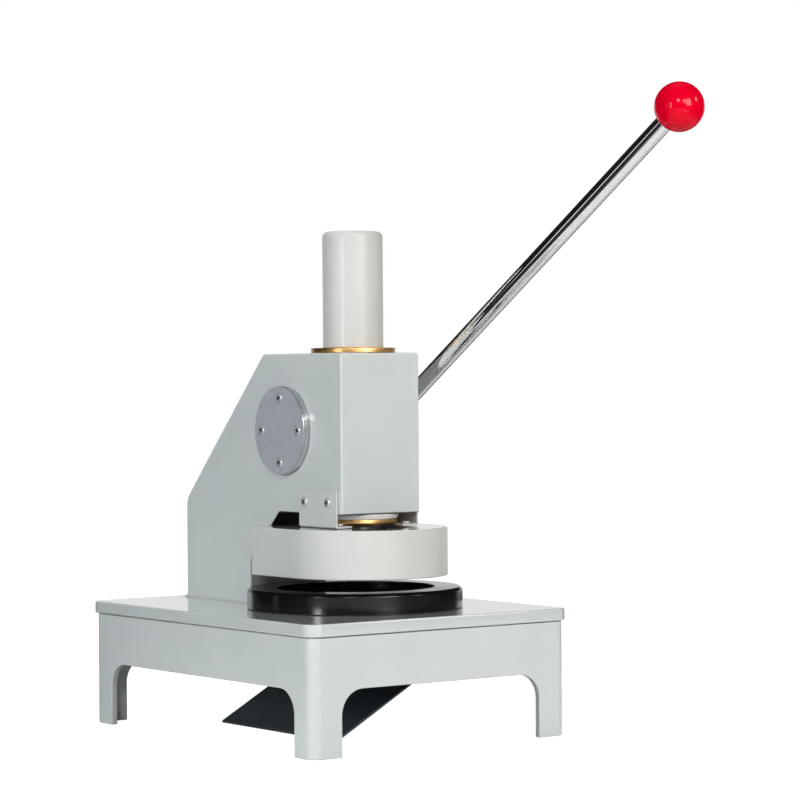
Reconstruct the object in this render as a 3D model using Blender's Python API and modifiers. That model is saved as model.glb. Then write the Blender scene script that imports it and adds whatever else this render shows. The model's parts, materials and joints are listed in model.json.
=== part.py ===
"""Lever-operated round sample cutter for paper and board.

A legged base table carries a C-shaped press frame. A rack-and-pinion ram slides in two
brass bushes in the frame's head and drives a round punch through a die ring on the table.
Lengths are millimetres measured from the ram axis (X to the right, Y to the rear) and from
the floor (Z up); mm() turns them into metres. Everything hangs from the empty "cutter".
"""
import bmesh
import bpy
from math import acos, atan, cos, pi, radians, sin, sqrt, tan
from mathutils import Euler, Matrix, Vector

# ---------------------------------------------------------------- driving dimensions (mm)
GAP = 0.3                  # between a piece and the one it is seated on or bolted to
RUN = 0.1                  # radial clearance of a running fit
BIG_N, MID_N, SMALL_N = 48, 32, 12        # facets of large, medium and small round pieces
SCREW_N, ROD_N = 8, 20

RAM_Y_IN_FRAME = 62.04     # ram axis, measured from the centre of the whole footprint

# base table
BASE_W = 222.0
BASE_Y0, BASE_Y1 = -105.5, 181.5
TABLE_TOP = 89.5
PLATE_T = 8.5
PLATE_CORNER = 11.0
SKIRT_INSET = 2.3
SKIRT_WALL = 5.0
SKIRT_CORNER = 8.7
ARCH_TOP = 44.9
ARCH_R = 17.0
ARCH_HALF_X = 84.0
ARCH_Y0, ARCH_Y1 = -82.0, 155.0
LUG = 20.0
LUG_T = 8.0
DROP_HOLE_R = 59.0

# die and punch: a 112.8 mm disc has an area of 100 square centimetres
DIE_R = 56.4
DIE_LAND = 6.0
DIE_RELIEF_R = 57.6
RING_R = 76.4
RING_TOP = 104.3
PUNCH_R = DIE_R - RUN
PUNCH_Z0, PUNCH_Z1 = 114.0, 130.7
HOLDER_R = 40.0
HOLDER_Z0, HOLDER_Z1 = 131.0, 143.2
PUNCH_SCREW_PCR = 32.0
DIE_SCREW_PCR = 67.5

# press frame
HEAD_HALF = 33.75
HEAD_FRONT = -32.6
HEAD_BOTTOM, HEAD_TOP = 156.7, 269.7
SLANT_Y, SLANT_Z = 65.3, 163.0
BACK_Y = 170.3
THROAT_Y, THROAT_Z = 83.8, 120.5
CHAMFER_Y = 46.2
EDGE = 1.6

# ram, rack and pinion
MODULE = 2.0
TEETH = 17
PITCH_R = MODULE * TEETH / 2
PRESSURE = radians(20)
BACKLASH = 0.3
PINION_Y, PINION_Z = 37.0, 215.2
PINION_HALF = 12.0
RACK_PITCH_Y = PINION_Y - PITCH_R
RAM_R, STEM_R = 23.0, 13.0
RAM_Z0, SHOULDER_Z, STEM_TOP = 143.5, 248.4, 337.0
POCKET_R, POCKET_END = PITCH_R + MODULE + 0.4, 13.0
LEFT_BEARING_END = -15.5
JOURNAL_R, SEAT_R = 12.0, 10.0

# bushes and dust cover
FLANGE_R = 30.0
UPPER_BUSH_R, LOWER_BUSH_R = 20.0, 26.5
UPPER_BUSH_Z0 = 249.3
LOWER_BUSH_Z1 = 182.0
UPPER_FLANGE_TOP = 273.3
LOWER_FLANGE_Z0, LOWER_FLANGE_Z1 = 148.9, 152.6
SPIGOT_R, SPIGOT_TOP = 19.6, 278.3
TUBE_R, TUBE_WALL, TUBE_TOP, TUBE_ROUND = 21.45, 1.5, 355.6, 4.0

# return spring
SPRING_R, WIRE_R, SPRING_TURNS = 16.0, 1.3, 8
SPRING_Z0, SPRING_Z1 = 279.9, 333.4
RETAINER_Z0, RETAINER_Z1 = 335.0, 341.0

# pinion cover on the left face
COVER_R, BEARING_FLANGE_R = 31.2, 31.4
FLANGE_T, COVER_T = 3.3, 1.4
COVER_PCR = 23.0

# lever
LEVER_X = 51.0
LEVER_ANGLE = radians(32.5)
LEVER_LEN = 387.0
ROD_R, STUD_R = 6.0, 4.8
BALL_R = 16.2
HUB_R, HUB_HALF, BOSS_R, BOSS_END = 19.0, 14.6, 10.0, 31.0

# finger guard and its brackets
GUARD_R, GUARD_Y, GUARD_WALL = 59.0, -11.7, 2.0
GUARD_Z0, GUARD_Z1 = 113.0, 147.0
GUARD_REAR, GUARD_REAR_LEAN = 43.5, 4.0
BRACKET_T = 1.5
BRACKET_Y0, BRACKET_Y1, BRACKET_TOP = -28.2, 17.5, 173.8
BRACKET_FOOT = 13.6
BRACKET_SCREWS_Y, BRACKET_SCREW_Z = (-18.8, 9.5), 165.2

# sample chute
CHUTE_HALF, CHUTE_T = 72.0, 1.5
CHUTE_X0, CHUTE_Z0, CHUTE_SLOPE = -66.5, 6.0, 0.55
CHUTE_END_X = 86.0

ALONG_X = (radians(90), 0, radians(90))   # an outline in Y, Z, pulled out along X
ALONG_Y = (radians(90), 0, 0)             # an outline in X, Z, pulled out along Y
AXIS_X = (0, radians(90), 0)              # a turned piece whose axis is X
LEVER_ROT = (radians(90) - LEVER_ANGLE, 0, 0)

# ---------------------------------------------------------------- scene
for old in list(bpy.data.objects):
    bpy.data.objects.remove(old, do_unlink=True)

parts = bpy.data.collections.new("round_sample_cutter")
tools = bpy.data.collections.new("cutters")
for coll in (parts, tools):
    bpy.context.scene.collection.children.link(coll)


def mm(*values):
    scaled = tuple(v * 0.001 for v in values)
    return scaled if len(scaled) > 1 else scaled[0]


def empty(name, at, parent=None):
    obj = bpy.data.objects.new(name, None)
    parts.objects.link(obj)
    obj.location = mm(*at)
    obj.parent = parent
    return obj


cutter = empty("cutter", (0, RAM_Y_IN_FRAME, 0))
ram_axis = empty("ram_axis", (0, 0, RAM_Z0), cutter)
lever_pivot = empty("lever_pivot", (0, PINION_Y, PINION_Z), cutter)

# name: base colour, metallic, roughness
LOOKS = {
    "enamel": ((0.62, 0.66, 0.65), 0.0, 0.28),
    "guard_enamel": ((0.66, 0.67, 0.64), 0.0, 0.33),
    "black_steel": ((0.012, 0.012, 0.013), 0.2, 0.32),
    "navy_sheet": ((0.014, 0.02, 0.028), 0.1, 0.35),
    "brass": ((0.72, 0.47, 0.19), 1.0, 0.25),
    "turned_steel": ((0.50, 0.50, 0.54), 1.0, 0.38),
    "ground_steel": ((0.60, 0.60, 0.60), 1.0, 0.22),
    "tool_steel": ((0.42, 0.42, 0.43), 1.0, 0.30),
    "dark_steel": ((0.10, 0.10, 0.11), 0.9, 0.42),
    "chrome": ((0.75, 0.75, 0.76), 1.0, 0.06),
    "zinc": ((0.68, 0.69, 0.70), 1.0, 0.30),
    "spring_steel": ((0.30, 0.29, 0.28), 1.0, 0.35),
    "bronze": ((0.55, 0.33, 0.15), 1.0, 0.35),
    "white_nylon": ((0.80, 0.80, 0.78), 0.0, 0.45),
    "red_phenolic": ((0.62, 0.005, 0.02), 0.0, 0.12),
}


def material(name, look):
    mat = bpy.data.materials.new(name)
    mat.use_nodes = True
    shader = mat.node_tree.nodes["Principled BSDF"]
    colour, metallic, roughness = LOOKS[look]
    shader.inputs["Base Color"].default_value = (*colour, 1.0)
    shader.inputs["Metallic"].default_value = metallic
    shader.inputs["Roughness"].default_value = roughness
    mat.diffuse_color = (*colour, 1.0)
    return mat


def place(obj, look, at, rot=(0, 0, 0), parent=cutter):
    """Put a new object in the model, or among the cutters when it has no look."""
    for coll in list(obj.users_collection):
        coll.objects.unlink(obj)
    obj.location, obj.rotation_euler = mm(*at), rot
    obj.parent = parent
    if look:
        parts.objects.link(obj)
        obj.data.materials.append(material(obj.name, look))
    else:
        tools.objects.link(obj)
        obj.hide_render, obj.display_type = True, 'WIRE'
    return obj


def inside(parent, at):
    """A position given from the ram axis and the floor, as seen from a parent empty."""
    if parent is cutter:
        return at
    return tuple(a - b / mm(1) for a, b in zip(at, parent.location))


def smooth(obj, angle=35):
    obj.data.shade_smooth()
    obj.data.set_sharp_from_angle(angle=radians(angle))


def box(name, look, size, at, parent=cutter, rot=(0, 0, 0)):
    bpy.ops.mesh.primitive_cube_add(size=1)
    obj = bpy.context.object
    obj.name = obj.data.name = name
    obj.data.transform(Matrix.Diagonal((*mm(*size), 1)))
    return place(obj, look, inside(parent, at), rot, parent)


def cylinder(name, look, r, length, at, parent=cutter, rot=(0, 0, 0), sides=SMALL_N):
    bpy.ops.mesh.primitive_cylinder_add(vertices=sides, radius=mm(r), depth=mm(length))
    obj = bpy.context.object
    obj.name = obj.data.name = name
    smooth(obj)
    return place(obj, look, inside(parent, at), rot, parent)


def turned(name, look, profile, at=(0, 0, 0), parent=cutter, rot=(0, 0, 0), steps=MID_N, closed=False):
    """Spin a profile of (radius, height) pairs about local Z; closed makes a ring of it."""
    mesh = bpy.data.meshes.new(name)
    count = len(profile)
    edges = [(i, i + 1) for i in range(count - 1)] + ([(count - 1, 0)] if closed else [])
    mesh.from_pydata([mm(r, 0, z) for r, z in profile], edges, [])
    obj = bpy.data.objects.new(name, mesh)
    parts.objects.link(obj)
    spin = obj.modifiers.new("spin", 'SCREW')
    spin.steps = spin.render_steps = steps
    spin.use_merge_vertices, spin.merge_threshold = True, 0.00001
    spin.use_smooth_shade = True
    return place(obj, look, inside(parent, at), rot, parent)


def rounded(points, seg=4):
    """Round an outline's corners: each point is (x, y) or (x, y, radius)."""
    out = []
    for i, point in enumerate(points):
        here = Vector(point[:2])
        radius = point[2] if len(point) > 2 else 0
        if not radius:
            out.append(tuple(here))
            continue
        a = (Vector(points[i - 1][:2]) - here).normalized()
        b = (Vector(points[(i + 1) % len(points)][:2]) - here).normalized()
        half = acos(max(-1, min(1, a.dot(b)))) / 2
        centre = here + (a + b).normalized() * radius / sin(half)
        start = here + a * radius / tan(half) - centre
        turn = pi - 2 * half
        if a.x * b.y - a.y * b.x > 0:
            turn = -turn
        for k in range(seg + 1):
            t = turn * k / seg
            out.append((centre.x + start.x * cos(t) - start.y * sin(t),
                        centre.y + start.x * sin(t) + start.y * cos(t)))
    return out


def slab(name, look, outlines, lo, hi, rot=(0, 0, 0), parent=cutter, at=(0, 0, 0)):
    """Flat outlines (the first outside, the others holes) pulled out from lo to hi."""
    curve = bpy.data.curves.new(name, 'CURVE')
    curve.dimensions, curve.fill_mode = '2D', 'BOTH'
    curve.extrude = mm((hi - lo) / 2)
    for outline in outlines:
        spline = curve.splines.new('POLY')
        spline.points.add(len(outline) - 1)
        for p, (x, y) in zip(spline.points, outline):
            p.co = (*mm(x, y, 0), 1)
        spline.use_cyclic_u = True
    shape = bpy.data.objects.new(name + "_outline", curve)
    parts.objects.link(shape)
    bpy.context.view_layer.update()
    mesh = bpy.data.meshes.new_from_object(shape.evaluated_get(bpy.context.evaluated_depsgraph_get()))
    bpy.data.objects.remove(shape)
    bpy.data.curves.remove(curve)
    bm = bmesh.new()
    bm.from_mesh(mesh)
    bmesh.ops.remove_doubles(bm, verts=bm.verts, dist=mm(0.002))
    bmesh.ops.dissolve_limit(bm, angle_limit=radians(0.5), verts=bm.verts, edges=bm.edges)
    bmesh.ops.translate(bm, verts=bm.verts, vec=mm(0, 0, (lo + hi) / 2))
    bmesh.ops.recalc_face_normals(bm, faces=bm.faces)
    bm.to_mesh(mesh)
    bm.free()
    mesh.materials.clear()
    mesh.name = name
    obj = bpy.data.objects.new(name, mesh)
    parts.objects.link(obj)
    smooth(obj, 30)
    return place(obj, look, inside(parent, at), rot, parent)


def bevel(obj, width, segments=2, angle=40):
    mod = obj.modifiers.new("bevel", 'BEVEL')
    mod.width, mod.segments = mm(width), segments
    mod.limit_method, mod.angle_limit = 'ANGLE', radians(angle)
    mod.harden_normals = False


def boolean(obj, tool, operation='DIFFERENCE'):
    mod = obj.modifiers.new(operation.lower(), 'BOOLEAN')
    mod.operation, mod.object, mod.solver = operation, tool, 'EXACT'


def cut(obj, *cutters):
    for tool in cutters:
        boolean(obj, tool)


def hole(r, length, at, rot=(0, 0, 0), sides=SCREW_N, parent=cutter):
    if sides == SCREW_N:
        r /= cos(pi / sides)          # so coarse that the flats, not the corners, must clear
    return cylinder("hole_cutter", None, r, length, at, parent, rot, sides)


def rectangle(x0, x1, y0, y1, r):
    return rounded([(x0, y0, r), (x1, y0, r), (x1, y1, r), (x0, y1, r)])


def arch(lo, hi):
    """Opening between two legs, rounded at its top corners and open at the floor."""
    return rounded([(lo, -5), (hi, -5), (hi, ARCH_TOP, ARCH_R), (lo, ARCH_TOP, ARCH_R)], 6)


def socket_screw(name, look, at, head_r, head_h, shank_r, shank, rot=(0, 0, 0), parent=cutter, recess='HEX'):
    """A screw whose local +Z points out of its head; its seat, under the head, is at `at`."""
    sides = SCREW_N if recess == 'HEX' else SMALL_N
    dome = [(head_r, head_h)] if recess == 'HEX' else [(head_r * 0.85, head_h), (head_r, head_h * 0.6)]
    profile = [(0, head_h)] + dome + [(head_r, 0), (shank_r, 0), (shank_r, -shank), (0, -shank)]
    screw = turned(name, look, profile, at, parent, rot, steps=sides)
    depth = head_h * 0.55
    if recess == 'HEX':
        recesses = [cylinder("hex_cutter", None, head_r * 0.55, 2 * depth, (0, 0, 0), sides=6)]
    else:
        recesses = [box("cross_cutter", None, (a * head_r, b * head_r, 2 * depth), (0, 0, 0))
                    for a, b in ((1.3, 0.28), (0.28, 1.3))]
    for tool in recesses:
        tool.parent, tool.location = screw, mm(0, 0, head_h)
        cut(screw, tool)
    return screw


def screw_hole(at, r, length, rot=(0, 0, 0), parent=cutter):
    """A drilled hole that starts GAP in front of `at` and runs the other way from local +Z."""
    tool = hole(r + GAP, length + 2 * GAP, at, rot, parent=parent)
    tool.data.transform(Matrix.LocRotScale(mm(0, 0, -length / 2), Euler((0, 0, 0.13)), None))
    return tool


# ---------------------------------------------------------------- base table
HALF_W = BASE_W / 2
plate_bottom = TABLE_TOP - PLATE_T
skirt_top = plate_bottom - GAP
base_plate = slab("base_plate", "enamel",
                  [rectangle(-HALF_W, HALF_W, BASE_Y0, BASE_Y1, PLATE_CORNER)], plate_bottom, TABLE_TOP)
bevel(base_plate, 0.9, 1, 60)
cut(base_plate, hole(DROP_HOLE_R, PLATE_T * 3, (0, 0, TABLE_TOP), sides=BIG_N))

sx, sy0, sy1 = HALF_W - SKIRT_INSET, BASE_Y0 + SKIRT_INSET, BASE_Y1 - SKIRT_INSET
wall = SKIRT_WALL
base_skirt = slab("base_skirt", "enamel",
                  [rectangle(-sx, sx, sy0, sy1, SKIRT_CORNER),
                   rectangle(-sx + wall, sx - wall, sy0 + wall, sy1 - wall, SKIRT_CORNER - wall)],
                  0, skirt_top)
cut(base_skirt,
    slab("arch_x_cutter", None, [arch(-ARCH_HALF_X, ARCH_HALF_X)], -BASE_Y1 - 5, -BASE_Y0 + 5, ALONG_Y),
    slab("arch_y_cutter", None, [arch(ARCH_Y0, ARCH_Y1)], -HALF_W - 5, HALF_W + 5, ALONG_X))
bolt_up = (pi, 0, 0)
for side_x in (-1, 1):
    for end_y, y in ((-1, sy0), (1, sy1)):
        lug_x, lug_y = side_x * (sx - wall / 2 - LUG / 2), y - end_y * (wall / 2 + LUG / 2)
        lug = box("lug_joiner", None, (LUG, LUG, LUG_T), (lug_x, lug_y, skirt_top - LUG_T / 2 - 0.01))
        boolean(base_skirt, lug, 'UNION')
        name = ("front" if end_y < 0 else "rear") + ("_left" if side_x < 0 else "_right")
        seat = (lug_x, lug_y, skirt_top - LUG_T - GAP)
        socket_screw("table_screw_" + name, "dark_steel", seat, 4.8, 5.5, 2.8, 14, bolt_up)
        drill = screw_hole(seat, 2.8, 14.6, bolt_up)
        cut(base_skirt, drill)
        cut(base_plate, drill)

# a bent sheet that catches the cut disc and lets it slide out under the left arch
rise = CHUTE_T * sqrt(1 + CHUTE_SLOPE ** 2)
flange_z = plate_bottom - GAP
bend_x = CHUTE_X0 + (flange_z - CHUTE_T - CHUTE_Z0) / CHUTE_SLOPE
sample_chute = slab("sample_chute", "navy_sheet",
                    [[(CHUTE_X0, CHUTE_Z0), (bend_x, flange_z - CHUTE_T), (CHUTE_END_X, flange_z - CHUTE_T),
                      (CHUTE_END_X, flange_z), (bend_x - 1, flange_z), (CHUTE_X0, CHUTE_Z0 + rise)]],
                    -CHUTE_HALF, CHUTE_HALF, ALONG_Y)
for name, y in (("front", -45), ("rear", 45)):
    seat = (78, y, flange_z - CHUTE_T - GAP)
    socket_screw("chute_screw_" + name, "dark_steel", seat, 4.2, 2.6, 2.4, 8, bolt_up)
    drill = screw_hole(seat, 2.4, 8.6, bolt_up)
    cut(sample_chute, drill)
    cut(base_plate, drill)

# ---------------------------------------------------------------- press frame
foot = TABLE_TOP + GAP
press_frame = slab("press_frame", "enamel",
                   [rounded([(HEAD_FRONT, HEAD_BOTTOM), (CHAMFER_Y, HEAD_BOTTOM), (THROAT_Y, THROAT_Z, 6),
                             (THROAT_Y, foot), (BACK_Y, foot), (BACK_Y, SLANT_Z, 14),
                             (SLANT_Y, HEAD_TOP, 5), (HEAD_FRONT, HEAD_TOP)])],
                   -HEAD_HALF, HEAD_HALF, ALONG_X)
bevel(press_frame, EDGE, 1)
bead = box("foot_bead", None, (2 * HEAD_HALF + 5, BACK_Y - THROAT_Y + 5, 3),
           (0, (BACK_Y + THROAT_Y) / 2, foot + 1.5))
bevel(bead, 2.2, 1)
boolean(press_frame, bead, 'UNION')


def bore(r, z0, z1):
    return hole(r, z1 - z0, (0, 0, (z0 + z1) / 2), sides=MID_N)


def cross_bore(r, x0, x1, sides=MID_N):
    return hole(r, x1 - x0, ((x0 + x1) / 2, PINION_Y, PINION_Z), AXIS_X, sides)


cut(press_frame,
    bore(LOWER_BUSH_R + GAP, HEAD_BOTTOM - 5, LOWER_BUSH_Z1 + GAP),
    bore(RAM_R + 0.4, HEAD_BOTTOM - 5, UPPER_BUSH_Z0 - GAP),
    bore(UPPER_BUSH_R + GAP, UPPER_BUSH_Z0 - 20, HEAD_TOP + 5),
    cross_bore(POCKET_R, -HEAD_HALF - 5, POCKET_END),
    cross_bore(15 + GAP, 0, HEAD_HALF + 5))

for side_x in (-1, 1):
    for name, y in (("front", 102.0), ("rear", 152.0)):
        seat = (side_x * 20, y, plate_bottom - GAP)
        side = "_left" if side_x < 0 else "_right"
        socket_screw("frame_bolt_" + name + side, "dark_steel", seat, 8, 9, 4.8, 36, bolt_up)
        drill = screw_hole(seat, 4.8, 37, bolt_up)
        cut(press_frame, drill)
        cut(base_plate, drill)

# ---------------------------------------------------------------- die ring
die_ring = turned("die_ring", "black_steel",
                  [(DIE_R, RING_TOP), (RING_R - 2, RING_TOP), (RING_R, RING_TOP - 2), (RING_R, foot),
                   (DIE_RELIEF_R, foot), (DIE_RELIEF_R, RING_TOP - DIE_LAND - 1),
                   (DIE_R, RING_TOP - DIE_LAND)],
                  steps=BIG_N, closed=True)
for k, name in enumerate(("front_right", "rear_right", "rear_left", "front_left")):
    turn = radians(-45 + 90 * k)
    seat = (DIE_SCREW_PCR * cos(turn), DIE_SCREW_PCR * sin(turn), plate_bottom - GAP)
    socket_screw("die_screw_" + name, "dark_steel", seat, 4.8, 5, 2.8, 17, bolt_up)
    drill = screw_hole(seat, 2.8, 17.6, bolt_up)
    cut(die_ring, drill)
    cut(base_plate, drill)

# ---------------------------------------------------------------- bushes, spacer and dust cover
bush_bore = STEM_R + RUN
turned("upper_bush", "brass",
       [(bush_bore, SPIGOT_TOP), (SPIGOT_R, SPIGOT_TOP), (SPIGOT_R, UPPER_FLANGE_TOP),
        (FLANGE_R - 0.5, UPPER_FLANGE_TOP), (FLANGE_R, UPPER_FLANGE_TOP - 0.5),
        (FLANGE_R, HEAD_TOP + GAP), (UPPER_BUSH_R, HEAD_TOP + GAP), (UPPER_BUSH_R, UPPER_BUSH_Z0),
        (bush_bore, UPPER_BUSH_Z0)], closed=True)
turned("lower_bush", "brass",
       [(RAM_R + RUN, LOWER_BUSH_Z1), (LOWER_BUSH_R, LOWER_BUSH_Z1), (LOWER_BUSH_R, LOWER_FLANGE_Z1),
        (FLANGE_R, LOWER_FLANGE_Z1), (FLANGE_R, LOWER_FLANGE_Z0 + 1.2),
        (FLANGE_R - 1.2, LOWER_FLANGE_Z0), (RAM_R + RUN, LOWER_FLANGE_Z0)], closed=True)
turned("bush_spacer", "white_nylon",
       [(LOWER_BUSH_R + GAP, HEAD_BOTTOM - GAP), (32, HEAD_BOTTOM - GAP),
        (30, LOWER_FLANGE_Z1 + GAP), (LOWER_BUSH_R + GAP, LOWER_FLANGE_Z1 + GAP)], closed=True)

arc = [(TUBE_R - TUBE_ROUND * (1 - sin(t)), TUBE_TOP - TUBE_ROUND * (1 - cos(t)))
       for t in (radians(22.5 * k) for k in range(5))]
inner = TUBE_R - TUBE_WALL
turned("dust_cover", "guard_enamel",
       [(0, TUBE_TOP)] + arc + [(TUBE_R, UPPER_FLANGE_TOP + GAP), (inner, UPPER_FLANGE_TOP + GAP),
                                (inner, TUBE_TOP - 4), (inner - 3, TUBE_TOP - 1.8), (0, TUBE_TOP - 1.8)])

# ---------------------------------------------------------------- ram, rack and return spring
ram = turned("ram", "ground_steel",
             [(0, 314), (4.3, 314), (4.3, STEM_TOP), (STEM_R - 0.5, STEM_TOP), (STEM_R, STEM_TOP - 0.5),
              (STEM_R, SHOULDER_Z), (RAM_R - 1, SHOULDER_Z), (RAM_R, SHOULDER_Z - 1), (RAM_R, RAM_Z0 + 0.5),
              (RAM_R - 0.5, RAM_Z0), (6.3, RAM_Z0), (6.3, 168), (0, 168)], parent=ram_axis)
pitch = pi * MODULE
slope = tan(PRESSURE)
gap_at_pitch = pitch / 2 + BACKLASH
tip_y, root_y = RACK_PITCH_Y + MODULE, RACK_PITCH_Y - 1.25 * MODULE
tip_half, root_half = gap_at_pitch / 2 + MODULE * slope, gap_at_pitch / 2 - 1.25 * MODULE * slope
comb = [(RAM_R + 6, 199.8), (tip_y, 199.8)]
for k in range(-2, 5):
    z = PINION_Z + k * pitch
    comb += [(tip_y, z - tip_half), (root_y, z - root_half), (root_y, z + root_half), (tip_y, z + tip_half)]
comb += [(tip_y, SHOULDER_Z + 2), (RAM_R + 6, SHOULDER_Z + 2)]
cut(ram, slab("rack_cutter", None, [comb], -18, 18, ALONG_X))

spring_data = bpy.data.curves.new("return_spring", 'CURVE')
spring_data.dimensions, spring_data.bevel_depth = '3D', mm(WIRE_R)
spring_data.bevel_resolution, spring_data.use_fill_caps = 2, True
coil = spring_data.splines.new('POLY')
PER_TURN = 10
coil.points.add(SPRING_TURNS * PER_TURN)
dead = 2 * WIRE_R + 0.3                  # the end coils lie almost flat
climb = (SPRING_Z1 - SPRING_Z0 - 2 * dead) / (SPRING_TURNS - 2)
for k, point in enumerate(coil.points):
    turn = k / PER_TURN
    z = SPRING_Z0 + dead * min(turn, 1) + climb * min(max(turn - 1, 0), SPRING_TURNS - 2)
    z += dead * max(turn - SPRING_TURNS + 1, 0)
    point.co = (*mm(SPRING_R * cos(2 * pi * turn), SPRING_R * sin(2 * pi * turn), z), 1)
place(bpy.data.objects.new("return_spring", spring_data), "spring_steel", (0, 0, 0))

turned("spring_retainer", "dark_steel",
       [(4.3, RETAINER_Z1), (17.5, RETAINER_Z1), (18.5, RETAINER_Z1 - 1), (18.5, RETAINER_Z0),
        (STEM_R + GAP, RETAINER_Z0), (STEM_R + GAP, STEM_TOP + GAP), (4.3, STEM_TOP + GAP)],
       parent=ram_axis, closed=True)
socket_screw("retainer_bolt", "zinc", (0, 0, RETAINER_Z1 + GAP), 6.5, 6, 4, 22, parent=ram_axis)

# ---------------------------------------------------------------- punch
punch_holder = turned("punch_holder", "dark_steel",
                      [(6.4, HOLDER_Z1), (HOLDER_R - 1.5, HOLDER_Z1), (HOLDER_R, HOLDER_Z1 - 1.5),
                       (HOLDER_R, HOLDER_Z0), (6.4, HOLDER_Z0)], parent=ram_axis, closed=True)
punch_disc = turned("punch_disc", "tool_steel",
                    [(6.4, PUNCH_Z1), (PUNCH_R - 1, PUNCH_Z1), (PUNCH_R, PUNCH_Z1 - 1), (PUNCH_R, PUNCH_Z0),
                     (PUNCH_R - 4, PUNCH_Z0 + 1.5), (10.4, PUNCH_Z0 + 1.5), (10.4, 124), (6.4, 124)],
                    parent=ram_axis, steps=BIG_N, closed=True)
socket_screw("holder_bolt", "dark_steel", (0, 0, 124 - GAP), 9, 7.6, 6, 42, bolt_up, ram_axis)
for k, name in enumerate(("front", "right", "rear", "left")):
    turn = radians(-90 + 90 * k)
    x, y = PUNCH_SCREW_PCR * cos(turn), PUNCH_SCREW_PCR * sin(turn)
    seat = (x, y, HOLDER_Z1 - 3.4)
    socket_screw("punch_screw_" + name, "zinc", seat, 4.3, 3, 2.4, 18, parent=ram_axis)
    pocket = hole(4.3 + 2 * GAP, 8, (x, y, HOLDER_Z1 - 3.4 - GAP + 4), parent=ram_axis)
    drill = screw_hole(seat, 2.4, 18.6, parent=ram_axis)
    cut(punch_holder, pocket, drill)
    cut(punch_disc, drill)

# ---------------------------------------------------------------- pinion and its bearings
base_r = PITCH_R * cos(PRESSURE)


def involute(r):
    a = acos(min(1, base_r / r))
    return tan(a) - a


half_tooth = (pitch / 2 - BACKLASH) / PITCH_R / 2 + involute(PITCH_R)
root_r, tip_r = PITCH_R - 1.25 * MODULE, PITCH_R + MODULE
flank = [(root_r, half_tooth)] + [(r, half_tooth - involute(r)) for r in (base_r, PITCH_R, tip_r)]
gear = []
for k in range(TEETH):
    mid = pi + 2 * pi * k / TEETH         # one tooth points at the rack
    for r, a in flank:
        gear.append((r * cos(mid - a), r * sin(mid - a)))
    for r, a in reversed(flank):
        gear.append((r * cos(mid + a), r * sin(mid + a)))

pinion_shaft = turned("pinion_shaft", "ground_steel",
                      [(0, 65), (SEAT_R - 0.5, 65), (SEAT_R, 64.5), (SEAT_R, 34), (JOURNAL_R, 34),
                       (JOURNAL_R, -32.5), (JOURNAL_R - 0.5, -33), (0, -33)], (0, PINION_Y, PINION_Z),
                      lever_pivot, AXIS_X)
gear_tool = slab("gear_joiner", None, [gear], -PINION_HALF, PINION_HALF, ALONG_X, lever_pivot,
                 (0, PINION_Y, PINION_Z))
boolean(pinion_shaft, gear_tool, 'UNION')
cut(pinion_shaft, hole(4.3, 24, (65 - 9, PINION_Y, PINION_Z), AXIS_X, parent=lever_pivot))

face = -HEAD_HALF - GAP
left_bearing = turned("left_bearing", "turned_steel",
                      [(JOURNAL_R + RUN, LEFT_BEARING_END), (POCKET_R - GAP, LEFT_BEARING_END),
                       (POCKET_R - GAP, face), (BEARING_FLANGE_R, face),
                       (BEARING_FLANGE_R, face - FLANGE_T + 0.4), (BEARING_FLANGE_R - 0.4, face - FLANGE_T),
                       (JOURNAL_R + RUN, face - FLANGE_T)],
                      (0, PINION_Y, PINION_Z), rot=AXIS_X, closed=True)
cover_x = face - FLANGE_T - GAP
cover_disc = turned("cover_disc", "turned_steel",
                    [(0, cover_x), (COVER_R, cover_x), (COVER_R, cover_x - COVER_T + 0.4),
                     (COVER_R - 0.4, cover_x - COVER_T), (0, cover_x - COVER_T)],
                    (0, PINION_Y, PINION_Z), rot=AXIS_X)
out_left, out_right = (0, radians(-90), 0), (0, radians(90), 0)
for k, name in enumerate(("top", "front", "bottom", "rear")):
    turn = radians(90 * k)
    y, z = PINION_Y - COVER_PCR * sin(turn), PINION_Z + COVER_PCR * cos(turn)
    seat = (cover_x - COVER_T + 0.9, y, z)
    socket_screw("cover_screw_" + name, "zinc", seat, 3.6, 1.8, 1.6, 11, out_left, recess='CROSS')
    sink = hole(3.6 + 0.2, 6, (cover_x - COVER_T + 0.9 + 0.2 - 3, y, z), AXIS_X, SMALL_N)
    drill = screw_hole(seat, 1.6, 11.6, out_left)
    cut(cover_disc, sink, drill)
    cut(left_bearing, drill)
    cut(press_frame, drill)

turned("right_bearing", "bronze",
       [(JOURNAL_R + RUN, 36), (20, 36), (20, HEAD_HALF + GAP), (15, HEAD_HALF + GAP),
        (15, POCKET_END + 0.5), (JOURNAL_R + RUN, POCKET_END + 0.5)],
       (0, PINION_Y, PINION_Z), rot=AXIS_X, closed=True)

# ---------------------------------------------------------------- lever
hub_in, hub_out = LEVER_X - HUB_HALF, LEVER_X + HUB_HALF
lever_hub = turned("lever_hub", "chrome",
                   [(0, hub_out), (HUB_R - 1.5, hub_out), (HUB_R, hub_out - 1.5), (HUB_R, hub_in + 1),
                    (HUB_R - 1, hub_in), (0, hub_in)], (0, PINION_Y, PINION_Z), lever_pivot, AXIS_X)
boss = turned("boss_joiner", None,
              [(0, BOSS_END), (BOSS_R - 1, BOSS_END), (BOSS_R, BOSS_END - 1), (BOSS_R, 6), (0, 6)],
              (LEVER_X, PINION_Y, PINION_Z), lever_pivot, LEVER_ROT, steps=ROD_N)
boolean(lever_hub, boss, 'UNION')
socket = hole(ROD_R + GAP, 40, (LEVER_X, PINION_Y, PINION_Z), LEVER_ROT, ROD_N, lever_pivot)
socket.data.transform(Matrix.Translation(mm(0, 0, 20)))

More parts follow.
